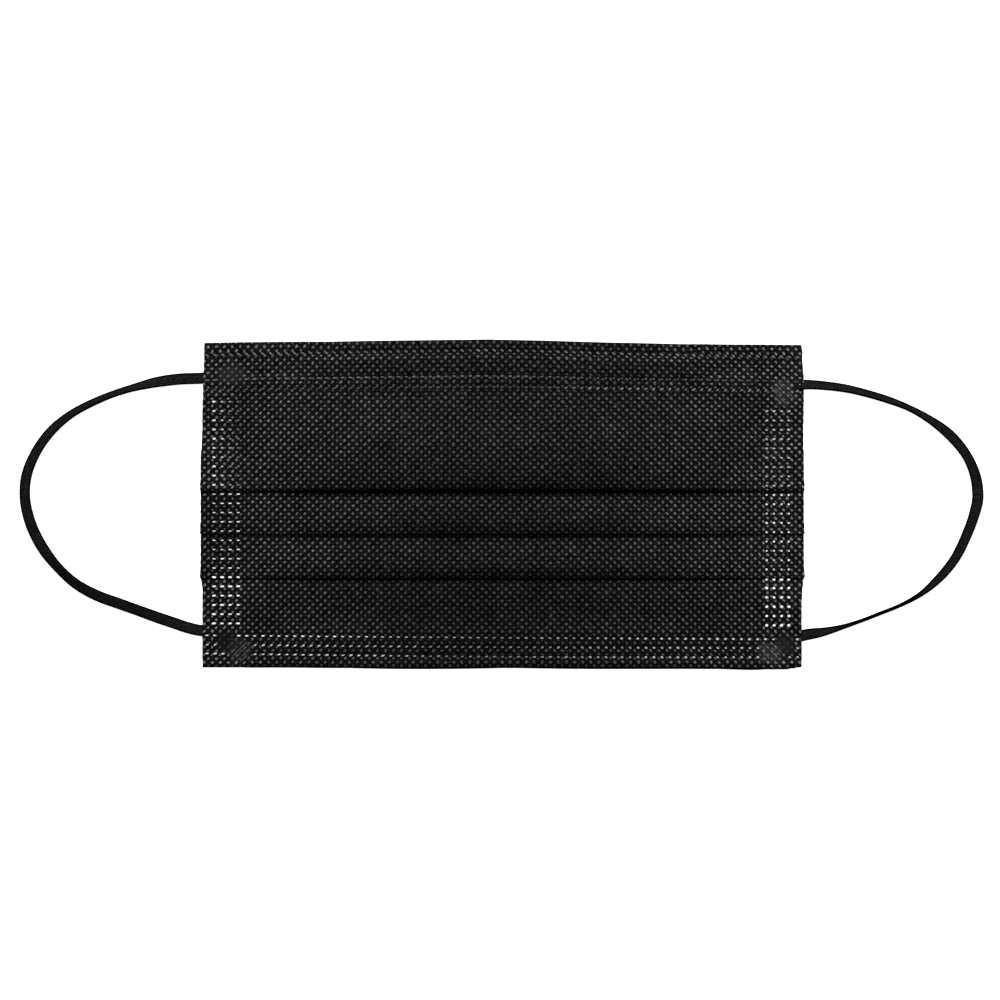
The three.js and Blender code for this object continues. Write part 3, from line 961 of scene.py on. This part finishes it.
def grey(light, blue):
    return light.node("ShaderNodeCombineColor", values={"Red": light, "Green": light, "Blue": blue})


def feed_bump(shader, height, strength, distance):
    values = {"Height": height, "Strength": strength, "Distance": distance}
    feed(shader, "Normal", height.node("ShaderNodeBump", values=values))


nonwoven, start, shader = material("black_nonwoven", Specular_IOR_Level=SPECULAR, Coat_Roughness=0.4)
cloth = start.node("ShaderNodeUVMap", {"uv_map": "cloth"})
place = start.object_place()
x, y = place.x_and_y()
pressed, melt, ribs = (carried(start, name) for name in ("patch", "melt", "ribs"))
mark, steep, shade = (carried(start, name) for name in ("mark", "steep", "shade"))

fibres = noise(cloth, FIBRE_SCALE, 3.0, 0.6)
strands = noise(turned(cloth, 0.75, 0.16), STRAND_SCALE) + noise(turned(cloth, -0.7, 0.16), STRAND_SCALE)
creases = noise(turned(cloth, 0.78, 0.12), CREASE_SCALE, 1.0)
clouds = noise(place, CLOUD_SCALE)
mottle = noise(cloth, MOTTLE_SCALE, 3.0, 0.65)

shove = noise(cloth, SHOVE_SCALE, 1.0).other("Color")
shove = shove.node("ShaderNodeVectorMath", {"operation": "SUBTRACT"}, {0: shove, 1: (0.5, 0.5, 0.5)})
uneven_cloth = cloth.node("ShaderNodeVectorMath", {"operation": "ADD"}, {0: cloth, 1: shove.scaled(SHOVE)})
# painted highlight: bond points are drawn leaning one way on the left and the other on the right, as their highlights
# do
lean = x.fade(-60 * MM, 60 * MM, HIGHLIGHT_LEAN, -HIGHLIGHT_LEAN)
sets = bond_points(*uneven_cloth.x_and_y(), BOND_ACROSS, BOND_ALONG, lean)
middle = abs(x).fade(20 * MM, 65 * MM, 1.0, 0.0)
ragged = (mottle - 0.5) * (middle * (0.5 * MM) + 0.7 * MM) - middle * (0.05 * MM)
spots = []
for number, (distance, across, along) in enumerate(sets):
    own = {"Vector": distance.vector(X=across, Y=along, Z=number + 0.5)}
    vigour = distance.node("ShaderNodeTexWhiteNoise", values=own, output="Value") * 0.55 + 0.72
    spots.append((distance + ragged).fade(0.17 * MM, 0.51 * MM, 1.0, 0.0) * vigour)
# painted shade: the bond points and the web are darkened where the cloth stands steeply round a fold
unshaded_where_flat = steep.fade(0.5, 0.96, 1.0, 0.0)
spot = (spots[0] + spots[1]) * (1.0 - mark) * unshaded_where_flat
# painted shade on the web: darker near the bond points, in the middle of the mask, and along fine creases; mottle and
# strands are the cloth's own tone
gap = sets[0][0].least(sets[1][0])
web = gap.fade(0.66 * MM, 1.04 * MM, 0.36, 1.28) * (1.0 - middle * 0.2)
web = web * mottle.fade(0.38, 0.62, 0.05, 2.0) * strands.fade(0.8, 1.25, 0.35, 1.65)
web = web * creases.fade(0.28, 0.36, 0.35, 1.0) * (unshaded_where_flat * 0.7 + 0.3)
web = web * abs(x).fade(75 * MM, 77 * MM, 1.0, 0.8)

# painted highlight: the bond points are made lighter towards the short sides, and glossier there too
outward = abs(x).fade(20 * MM, 80 * MM, 0.46, 1.08)
strip = abs(x).fade(75 * MM, 77 * MM, 1.0, 1.3)
# painted shade: the lower panel is darkened above the bottom hem
low_panel_shade = 1.0 - y.fade(-22 * MM, -27 * MM, 0.0, 0.25) * y.fade(-46 * MM, -45 * MM)
# level carries the painted shade worked out on the sheet and painted shade in the weld dents (mark); the weld strips
# are made lighter
level = strip * low_panel_shade * shade * clouds.fade(0.3, 0.7, 0.86, 1.14) * (1.0 - mark * 0.6)
melted = fibres.fade(0.3, 0.62, 0.3, 1.3)
bonded = BOND_LIGHT * spot * melted * outward * (1.0 - pressed * 0.9)
light = (GROUND * web * (1.0 - pressed) + bonded) * level
slope = x * x.fade(-1 * MM, 1 * MM, -1.0, 1.0) + y
rib = (abs((slope / RIB_PITCH).fraction() - 0.5) * 2.0).fade(0.45, 0.85)
rib = rib * noise(place, RIB_BREAK_SCALE, 1.0).fade(0.42, 0.58, 0.05, 1.15)
light = light + (melt + rib * ribs) * fibres.fade(0.3, 0.62, 0.25, 1.6)
feed(shader, "Base Color", grey(light, light * 1.02))
feed(shader, "Roughness", 0.92 - spot * 0.3)
feed(shader, "Coat Weight", (spot * outward * 0.2).least(0.5))
feed_bump(shader, fibres * 0.5 + strands * 0.35 - spot * 0.5, 0.5, 0.08 * MM)

inputs = {
    "Bond pitch across": BOND_ACROSS, "Bond pitch along": BOND_ALONG, "Bond radius": 0.75 * MM,
    "Bond depth": 0.11 * MM, "Mark radius": 0.95 * MM, "Mark depth": 0.14 * MM, "Mark places": mark_points,
    "Finish": nonwoven,
}
tree, entry = geometry_tree("bonded_cloth", inputs)
cloth = stored(entry["Geometry"], "cloth", "FLOAT_VECTOR")
near, far = bond_points(*cloth.x_and_y(), entry["Bond pitch across"], entry["Bond pitch along"])
dimple = near[0].least(far[0]).fade(entry["Bond radius"] * 0.25, entry["Bond radius"], 1.0, 0.0)
dimple = dimple * (1.0 - stored(cloth, "patch")) * stored(cloth, "steep").fade(0.3, 0.9, 1.0, 0.0)
x, y = cloth.node("GeometryNodeInputPosition").x_and_y()
flat = x.vector(X=x, Y=y)
places = flat.node("GeometryNodeObjectInfo", values={"Object": entry["Mark places"]}, output="Geometry")
values = {0: places, "Sample Position": flat}
closeness = places.node("GeometryNodeProximity", {"target_element": "POINTS"}, values, output="Distance")
mark = closeness.fade(entry["Mark radius"] * 0.35, entry["Mark radius"], 1.0, 0.0)
depth = (dimple * entry["Bond depth"]).most(mark * entry["Mark depth"])
depth = depth * stored(cloth, "loose").fade(0.0, 1.0, 0.35, 1.0)
inward = depth.node("GeometryNodeInputNormal").scaled(depth * -1.0)
kept = entry["Geometry"].step("StoreNamedAttribute", Name="mark", Value=mark)
end_tree(kept.step("SetPosition", Offset=inward), entry["Finish"])
make_plain(sheet, tree, inputs)
sheet.data.set_sharp_from_angle(angle=math.radians(50))
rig.ride(sheet, "root")
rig.replaces(sheet, "pleated_panel")
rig.slot(sheet, "nonwoven")


# ---- Weld marks ----
# Where the toothed wheels of the welder pressed all the plies together, the polypropylene has melted into
# small smooth bars. They sit in the dents that they were pressed into.

MARK_THICKNESS = 0.10 * MM
MARK_CORNERS = 10
ABOVE_SHEET = 20 * MM
SPECKLE_SCALE = 3500.0

film, start, shader = material("melted_film", Specular_IOR_Level=0.5, Roughness=0.32, Coat_Roughness=0.2)
speckle = noise(start.object_place(), SPECKLE_SCALE)
# the bars' lightness is partly the melted film's own and partly painted highlight, with colour above 1 on the lightest
light = carried(start, "light") * speckle.fade(0.33, 0.62, 0.5, 1.3)
feed(shader, "Base Color", grey(light, light))
feed_bump(shader, speckle, 0.3, 0.03 * MM)

inputs = {"Sheet": sheet, "Thickness": MARK_THICKNESS, "Seed": 3, "Finish": film}
tree, entry = geometry_tree("weld_marks", inputs)
places = entry["Geometry"]
below = places.node("GeometryNodeObjectInfo", values={"Object": entry["Sheet"]}, output="Geometry")
places = places.node("GeometryNodeMeshToPoints", values={"Mesh": places})
places = places.step("SetPosition", Offset=(0.0, 0.0, ABOVE_SHEET))
ray = {"Target Geometry": below, "Ray Direction": (0.0, 0.0, -1.0), "Ray Length": 0.05}
landing = places.node("GeometryNodeRaycast", values=ray, output="Hit Position")
places = places.step("SetPosition", Position=landing)
cone = {"Vertices": MARK_CORNERS, "Radius Top": 0.4, "Radius Bottom": 0.5, "Depth": entry["Thickness"]}
bar = places.node("GeometryNodeMeshCone", {"fill_type": "TRIANGLE_FAN"}, cone, output="Mesh")
bar = bar.step("Transform", Translation=bar.vector(Z=entry["Thickness"] * 0.4))
length, width, turn = (stored(bar, name) for name in ("length", "width", "turn"))
values = {"Min": 0.88, "Max": 1.12, "Seed": entry["Seed"]}
uneven = bar.node("FunctionNodeRandomValue", values=values, output=1)
size = bar.vector(X=length * uneven, Y=width * uneven, Z=1.0)
values = {"Points": places, "Instance": bar, "Rotation": bar.vector(Z=turn), "Scale": size}
bars = places.node("GeometryNodeInstanceOnPoints", values=values)
end_tree(bars, entry["Finish"])

weld_marks = mark_points
weld_marks.name = "weld_marks"
make_plain(weld_marks, tree, inputs)
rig.ride(weld_marks, "root")
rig.slot(weld_marks, "nonwoven")
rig.sheet(sheet, flat=(175 * MM, 182 * MM), held="folded", rests_on=["table"], with_pieces=[weld_marks])


# ---- Nose wire ----
# A soft steel wire in a flat polypropylene coat. It lies loose in the channel between two rows of welds in
# the top hem, and is bent over the nose by hand.

DRAWN_SCALE = 5000.0

coat, start, shader = material("coated_wire", Specular_IOR_Level=0.5, Roughness=0.45)
drawn = noise(turned(start.object_place(), 0, 0.06), DRAWN_SCALE, 3.0)
tint = {0: drawn.fade(0.3, 0.7), 6: (0.50, 0.50, 0.48, 1), 7: (0.62, 0.62, 0.60, 1)}
feed(shader, "Base Color", drawn.node("ShaderNodeMix", {"data_type": "RGBA"}, tint, output=2))
feed_bump(shader, drawn, 0.25, 0.02 * MM)
wire = frame["nodes"]["nose_wire"]
wire.data.materials.clear()
wire.data.materials.append(coat)


# ---- Ear loops ----
# Two lengths of flat knitted elastic, 3.5 mm wide. Each end is welded behind a corner of the sheet. Between
# its ends the elastic lies on the table in a loose arc, flat in some places and rolled towards its edge in
# others.

ELASTIC_WIDTH = 3.5 * MM
ELASTIC_THICKNESS = 1.12 * MM
ELASTIC_REST = 0.05 * MM
WELDED_ENDS = (3 * MM, 7 * MM)  # an end is welded flat up to the first of these, and free past the second
WELDED_LOSS = 0.5  # the share of its thickness that it loses there
ELASTIC_CORNERS = [[0.55], [0.62]]  # across and through: below 1, the elastic is squarer than an ellipse
SPAN_STEPS = 60
RING_STEP = 0.2 * MM
RING_POINTS = 28
STITCH_LENGTH = 0.95 * MM
WALES = 4.0
KNIT_DEPTH = 0.07 * MM
YARN_LIGHT = 0.0126
FUZZ_SCALE = 2000.0

# Each route runs from the weld at the upper corner to that at the lower one. Columns: x and y in
# millimetres, and how far the elastic is rolled there, in degrees: 90 has it standing on its edge.
LEFT_ROUTE = [
    (-75.2, 37.8, 0), (-81.5, 37.3, 0), (-87.6, 36.8, 0), (-94.6, 36.5, 3), (-100.5, 35.7, 26),
    (-106.5, 34.3, 52), (-112.8, 32.4, 60), (-119.2, 29.8, 56), (-125.9, 26.2, 50), (-131.9, 21.1, 36),
    (-136.5, 14.5, 30), (-139.0, 7.9, 22), (-139.4, 2.4, 21), (-137.9, -5.1, 12), (-134.5, -12.3, 8),
    (-129.8, -18.4, 35), (-124.3, -23.4, 29), (-118.1, -26.8, 16), (-111.8, -29.1, 14), (-106.2, -31.1, 18),
    (-101.0, -33.0, 8), (-95.7, -34.8, 4), (-91.8, -36.1, 0), (-88.6, -36.85, 0), (-85.0, -37.2, 0),
    (-80.5, -38.7, 0), (-75.0, -41.8, 0),
]
RIGHT_ROUTE = [
    (75.1, 32.4, 0), (81.8, 34.3, 0), (88.7, 34.9, -36), (95.0, 34.5, -46), (100.7, 33.7, -51),
    (106.5, 32.3, -55), (112.5, 30.5, -57), (118.9, 28.0, -63), (125.3, 24.4, -50), (131.4, 19.6, -25),
    (136.2, 13.3, -32), (138.6, 6.9, -12), (139.0, 1.9, 12), (137.7, -3.6, 34), (135.5, -9.4, 40),
    (132.1, -16.1, 47), (127.4, -21.8, 57), (122.0, -26.4, 80), (116.1, -29.6, 90), (110.1, -32.0, 90),
    (104.7, -34.1, 90), (99.2, -35.9, 79), (93.8, -37.3, 52), (88.2, -38.3, 10), (81.8, -40.4, 0),
    (74.9, -43.6, 0),
]


def smooth_route(route):
    """The route as rings RING_STEP apart: the place and roll of each, and how far along the route it is."""
    stops = np.array(route, float)
    spans = np.hypot(*np.diff(stops[:, :2], axis=0).T)
    headings = directions(stops, spans)
    t = np.linspace(0, 1, SPAN_STEPS, endpoint=False)[:, None]
    ends = zip(stops, stops[1:], headings, headings[1:], spans)
    curves = [smooth_point(p, q, m * span, n * span, t) for p, q, m, n, span in ends]
    line = np.concatenate([*curves, stops[-1:]])
    lengths = np.concatenate([[0], np.cumsum(np.hypot(*np.diff(line[:, :2], axis=0).T))])
    even = np.linspace(0, lengths[-1], round(lengths[-1] / (RING_STEP / MM)) + 1)
    return np.stack([np.interp(even, lengths, line[:, k]) for k in range(3)], axis=-1), even * MM


def unit(vectors):
    return vectors / np.linalg.norm(vectors, axis=1, keepdims=True)


def elastic(name, route):
    """A flat tape along the route, as a closed tube, with the length along it and the way across for UV."""
    rings, lengths = smooth_route(route)
    roll = np.radians(rings[:, 2:])
    sine, cosine = np.sin(roll), np.cos(roll)
    free = ramp(np.minimum(lengths, lengths[-1] - lengths), *WELDED_ENDS)[:, None]
    thickness = ELASTIC_THICKNESS * (1 - WELDED_LOSS * (1 - free))
    angle = math.tau * (np.arange(RING_POINTS) + 0.5) / RING_POINTS
    circle = np.array([np.cos(angle), np.sin(angle)])
    round_x, round_z = np.sign(circle) * abs(circle) ** ELASTIC_CORNERS * [[ELASTIC_WIDTH], [1]] / 2
    reach = round_x * sine + round_z * (thickness * cosine)
    path = np.column_stack([rings[:, :2] * MM, ELASTIC_REST + reach.max(axis=1)])
    forward = unit(np.gradient(path, axis=0))
    sideways = unit(np.cross([0, 0, 1], forward))
    upward = np.cross(forward, sideways)
    points = path[:, None] + (sideways * cosine + upward * sine)[:, None] * round_x[:, None]
    points = points + (upward * cosine - sideways * sine)[:, None] * (round_z * thickness)[..., None]
    numbers = np.arange(len(path) * RING_POINTS).reshape(len(path), RING_POINTS)
    wrapped = np.concatenate([numbers, numbers[:, :1]], axis=1)
    faces = grid_faces(wrapped[:, ::-1])
    for ring, centre, turn in ((0, numbers.size, 1), (-1, numbers.size + 1, -1)):
        loop = wrapped[ring][::turn]
        faces += [(centre, b, a) for a, b in zip(loop, loop[1:])]
    piece = mesh_piece(name, np.concatenate([points.reshape(-1, 3), path[[0, -1]]]), faces)
    piece.data.shade_smooth()
    way = round_x / ELASTIC_WIDTH + 0.5
    on_tape = np.stack(np.broadcast_arrays(lengths[:, None], way), axis=-1)
    put_uv_map(piece.data, "tape", np.concatenate([on_tape.reshape(-1, 2), [[0, 0.5], [lengths[-1], 0.5]]]))
    # rim: how far in from the tape's side edge, seen from above, for painted shade along its edges; rolled is for
    # painted shade too
    sidelong = abs(round_x * cosine - round_z * (thickness * sine))
    rim = sidelong.max(axis=1, keepdims=True) - sidelong
    for name, values in (("knit", free), ("rim", rim), ("rolled", abs(sine))):
        put_attribute(piece.data, name, np.append(np.broadcast_to(values, numbers.shape), [0, 0]))
    return piece, path, lengths[-1]


def stitches(along, way, length, wales):
    """The height of the knit: chains of V-shaped stitches side by side, each chain a rib along the tape."""
    wale = (way * wales).fraction()
    slant = abs(wale - 0.5)
    rib = slant.fade(0.28, 0.5, 1.0, 0.0)
    chain = (along / length + slant * 1.1).fraction()
    return rib * (0.55 + 0.45 * (abs(chain - 0.5) * 2.0).fade(0.1, 0.9))


yarn, start, shader = material("knitted_elastic", Specular_IOR_Level=0.0, Roughness=1.0)
tape = start.node("ShaderNodeUVMap", {"uv_map": "tape"})
place = start.object_place()
height = stitches(*tape.x_and_y(), STITCH_LENGTH, WALES)
fuzz = noise(place, FUZZ_SCALE, 3.0, 0.6)
# painted shade: darker where the tape is rolled, much darker along its side edges seen from above, and in the knit's
# grooves; fuzz is the yarn's own tone
light = YARN_LIGHT * (1.0 - 0.4 * carried(start, "rolled"))
light = light * carried(start, "rim").fade(0.3 * MM, 0.7 * MM, 0.1, 1.0)
light = light * height.fade(0.0, 1.0, 0.5, 1.2) * fuzz.fade(0.35, 0.65, 0.35, 1.65)
feed(shader, "Base Color", grey(light, light * 1.02))
feed_bump(shader, height + fuzz * 0.4, 0.5, 0.1 * MM)

inputs = {"Stitch length": STITCH_LENGTH, "Wales": WALES, "Knit depth": KNIT_DEPTH, "Finish": yarn}
tree, entry = geometry_tree("knitted_tape", inputs)
tape = stored(entry["Geometry"], "tape", "FLOAT_VECTOR")
height = stitches(*tape.x_and_y(), entry["Stitch length"], entry["Wales"])
hollow = (height - 1.0) * entry["Knit depth"] * stored(tape, "knit")
offset = hollow.node("GeometryNodeInputNormal").scaled(hollow)
end_tree(entry["Geometry"].step("SetPosition", Offset=offset), entry["Finish"])

for name, route in (("ear_loop_left", LEFT_ROUTE), ("ear_loop_right", RIGHT_ROUTE)):
    loop, path, length = elastic("knitted_" + name, route)
    make_plain(loop, tree, inputs)
    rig.ride(loop, "root")
    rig.replaces(loop, name)
    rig.slot(loop, "knitted_elastic")
    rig.cord(loop, exit=path[0], length=round(length, 3), diameter=ELASTIC_WIDTH, far_end="object",
            stiffness="limp", lay="loose", path=path)


# ---- Sizes ----
low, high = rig.bounds()
with open("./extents.json", "w") as file:
    json.dump({"cad": [list(cad_low), list(cad_high)], "visual": [list(low), list(high)]}, file)
